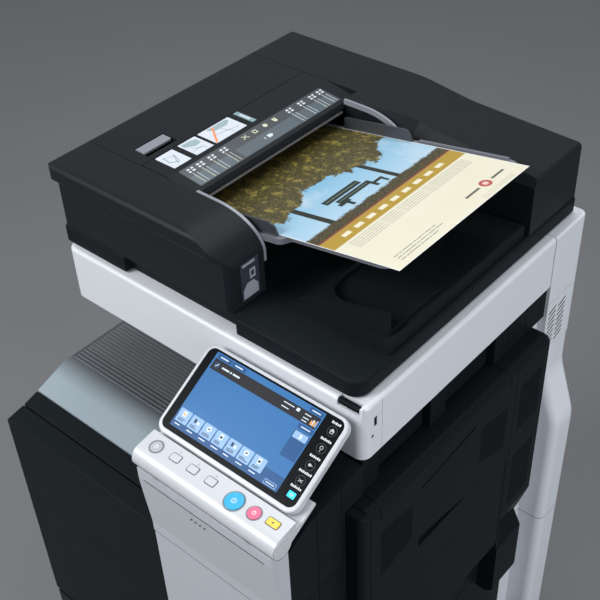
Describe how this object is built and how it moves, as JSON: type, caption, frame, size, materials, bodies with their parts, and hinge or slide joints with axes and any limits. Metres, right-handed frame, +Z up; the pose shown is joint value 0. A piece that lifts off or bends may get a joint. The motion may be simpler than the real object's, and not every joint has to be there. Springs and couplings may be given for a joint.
{
  "type": "photocopier",
  "caption": "Floor-standing office photocopier with document feeder, tilting touch panel, front and side doors, bypass tray and paper drawers on casters.",
  "frame": {"origin": "on the floor, under the centre of the bounding box", "axes": "+X to the machine's right as seen from the front, +Y to its back, +Z up"},
  "size_m": [0.62, 0.734, 1.1958],
  "materials": {
    "charcoal": "fine grained, satin",
    "black_plastic": "fine grained, satin",
    "silver_white": "pearl white, satin",
    "tray_grey": "satin",
    "steel": "zinc coated sheet and ground shafts",
    "rubber": "matte",
    "belt": "gloss",
    "toner": "matte",
    "clear_glass": "polished",
    "screen": "polished",
    "white_pad": "foam backed sheet",
    "silver_trim": "silver, satin",
    "latch_grey": "satin",
    "carriage": "matte",
    "paper": "coated, colour print",
    "dark_key": "satin",
    "white_key": "satin",
    "cyan_key": "translucent, satin",
    "red_key": "satin",
    "yellow_key": "satin"
  },
  "bodies": {
    "root": {"base_plate": "steel", "column_upper": "silver_white", "drum_units": "black_plastic", "exit_tower": "black_plastic", "front_top_covers": "black_plastic", "fuser_unit": "steel", "laser_unit": "black_plastic", "left_cover": "charcoal", "main_frame": "steel", "output_tray": "tray_grey", "platen_glass": "clear_glass", "power_inlet": "black_plastic", "power_supply": "steel", "rear_column": "silver_white", "rear_cover": "charcoal", "rear_unit": "black_plastic", "right_cover": "charcoal", "right_walls": "black_plastic", "scanner_housing": "silver_white", "steel_shafts": "steel", "toner_bottles": "toner", "transfer_belt": "belt"},
    "adf": {"adf_base": "charcoal", "platen_pad": "white_pad", "adf_front_block": "charcoal", "adf_rear_block": "charcoal", "adf_core": "charcoal", "feed_trims": "silver_trim"},
    "feed_cover": {"feed_cover": "charcoal"},
    "feed_latch": {"feed_latch": "latch_grey"},
    "feed_roller": {"feed_roller": "rubber"},
    "document_tray": {"document_tray": "tray_grey", "original_sheet": "paper"},
    "guide_front": {"guide_front": "latch_grey"},
    "guide_rear": {"guide_rear": "latch_grey"},
    "scan_carriage": {"scan_carriage": "carriage"},
    "stylus": {"stylus": "dark_key"},
    "control_panel": {"panel_bar": "silver_white", "tablet_shell": "silver_white", "touch_screen": "screen"},
    "front_door": {"front_door": "charcoal", "front_door_column": "silver_white"},
    "right_door": {"right_door": "black_plastic"},
    "bypass_tray": {"bypass_tray": "black_plastic"},
    "drawer_1": {"drawer_1": "charcoal"},
    "drawer_2": {"drawer_2": "charcoal"},
    "drawer_3": {"drawer_3": "charcoal"},
    "power_button": {"power_button": "white_key"},
    "function_key_1": {"function_key_1": "white_key"},
    "function_key_2": {"function_key_2": "white_key"},
    "function_key_3": {"function_key_3": "white_key"},
    "start_button": {"start_button": "cyan_key"},
    "stop_button": {"stop_button": "red_key"},
    "reset_button": {"reset_button": "yellow_key"},
    "caster_left_fork": {"caster_left_fork": "steel"},
    "caster_left_wheel": {"caster_left_wheel": "rubber"},
    "rear_left_wheel": {"rear_left_wheel": "rubber"},
    "caster_right_fork": {"caster_right_fork": "steel"},
    "caster_right_wheel": {"caster_right_wheel": "rubber"},
    "rear_right_wheel": {"rear_right_wheel": "rubber"}
  },
  "joints": [
    {"name": "adf_lift", "type": "hinge", "parent": "root", "child": "adf", "pos_m": [0, 0.345, 1.057], "axis": [-1, 0, 0], "range_deg": [0, 60]},
    {"name": "feed_cover_lift", "type": "hinge", "parent": "adf", "child": "feed_cover", "pos_m": [-0.301, 0.07, 1.167], "axis": [0, -1, 0], "range_deg": [0, 80]},
    {"name": "feed_latch_lift", "type": "hinge", "parent": "feed_cover", "child": "feed_latch", "pos_m": [-0.229, -0.0565, 1.1798], "axis": [0, -1, 0], "range_deg": [0, 30]},
    {"name": "feed_roller_spin", "type": "hinge", "parent": "adf", "child": "feed_roller", "pos_m": [-0.15, 0.055, 1.1445], "axis": [0, 1, 0], "continuous": true},
    {"name": "document_tray_tilt", "type": "hinge", "parent": "adf", "child": "document_tray", "pos_m": [-0.158, 0.055, 1.121], "axis": [0, -1, 0], "range_deg": [0, 9]},
    {"name": "guide_front_slide", "type": "slide", "parent": "document_tray", "child": "guide_front", "axis": [0, -1, 0], "range_m": [0, 0.006]},
    {"name": "guide_rear_slide", "type": "slide", "parent": "document_tray", "child": "guide_rear", "axis": [0, 1, 0], "range_m": [0, 0.006]},
    {"name": "carriage_slide", "type": "slide", "parent": "root", "child": "scan_carriage", "axis": [1, 0, 0], "range_m": [0, 0.44]},
    {"name": "stylus_lift", "type": "slide", "parent": "root", "child": "stylus", "axis": [0, -0.7071, 0.7071], "range_m": [0, 0.03]},
    {"name": "panel_tilt", "type": "hinge", "parent": "root", "child": "control_panel", "pos_m": [0.15, -0.3495, 0.9365], "axis": [1, 0, 0], "range_deg": [0, 35]},
    {"name": "power_press", "type": "slide", "parent": "control_panel", "child": "power_button", "axis": [0, 0.1468, -0.9892], "range_m": [0, 0.0008], "stiffness_N_per_m": 400},
    {"name": "function_1_press", "type": "slide", "parent": "control_panel", "child": "function_key_1", "axis": [0, 0.1468, -0.9892], "range_m": [0, 0.0008], "stiffness_N_per_m": 400},
    {"name": "function_2_press", "type": "slide", "parent": "control_panel", "child": "function_key_2", "axis": [0, 0.1468, -0.9892], "range_m": [0, 0.0008], "stiffness_N_per_m": 400},
    {"name": "function_3_press", "type": "slide", "parent": "control_panel", "child": "function_key_3", "axis": [0, 0.1468, -0.9892], "range_m": [0, 0.0008], "stiffness_N_per_m": 400},
    {"name": "start_press", "type": "slide", "parent": "control_panel", "child": "start_button", "axis": [0, 0.1468, -0.9892], "range_m": [0, 0.0008], "stiffness_N_per_m": 400},
    {"name": "stop_press", "type": "slide", "parent": "control_panel", "child": "stop_button", "axis": [0, 0.1468, -0.9892], "range_m": [0, 0.0008], "stiffness_N_per_m": 400},
    {"name": "reset_press", "type": "slide", "parent": "control_panel", "child": "reset_button", "axis": [0, 0.1468, -0.9892], "range_m": [0, 0.0008], "stiffness_N_per_m": 400},
    {"name": "front_door_open", "type": "hinge", "parent": "root", "child": "front_door", "pos_m": [0, -0.347, 0.36], "axis": [1, 0, 0], "range_deg": [0, 90]},
    {"name": "right_door_open", "type": "hinge", "parent": "root", "child": "right_door", "pos_m": [0.29, -0.03, 0.464], "axis": [0, 1, 0], "range_deg": [0, 70]},
    {"name": "bypass_open", "type": "hinge", "parent": "right_door", "child": "bypass_tray", "pos_m": [0.2988, -0.03, 0.476], "axis": [0, 1, 0], "range_deg": [0, 75]},
    {"name": "drawer_1_slide", "type": "slide", "parent": "root", "child": "drawer_1", "axis": [0, -1, 0], "range_m": [0, 0.45]},
    {"name": "drawer_2_slide", "type": "slide", "parent": "root", "child": "drawer_2", "axis": [0, -1, 0], "range_m": [0, 0.45]},
    {"name": "drawer_3_slide", "type": "slide", "parent": "root", "child": "drawer_3", "axis": [0, -1, 0], "range_m": [0, 0.45]},
    {"name": "caster_left_swivel", "type": "hinge", "parent": "root", "child": "caster_left_fork", "pos_m": [-0.25, -0.28, 0.068], "axis": [0, 0, 1], "continuous": true},
    {"name": "caster_left_spin", "type": "hinge", "parent": "caster_left_fork", "child": "caster_left_wheel", "pos_m": [-0.25, -0.262, 0.0295], "axis": [1, 0, 0], "continuous": true},
    {"name": "caster_right_swivel", "type": "hinge", "parent": "root", "child": "caster_right_fork", "pos_m": [0.212, -0.28, 0.068], "axis": [0, 0, 1], "continuous": true},
    {"name": "caster_right_spin", "type": "hinge", "parent": "caster_right_fork", "child": "caster_right_wheel", "pos_m": [0.212, -0.262, 0.0295], "axis": [1, 0, 0], "continuous": true},
    {"name": "rear_left_spin", "type": "hinge", "parent": "root", "child": "rear_left_wheel", "pos_m": [-0.25, 0.288, 0.0295], "axis": [1, 0, 0], "continuous": true},
    {"name": "rear_right_spin", "type": "hinge", "parent": "root", "child": "rear_right_wheel", "pos_m": [0.212, 0.288, 0.0295], "axis": [1, 0, 0], "continuous": true}
  ],
  "couplings": [
    {"joint": "guide_rear_slide", "follows": "guide_front_slide", "ratio": 1}
  ]
}
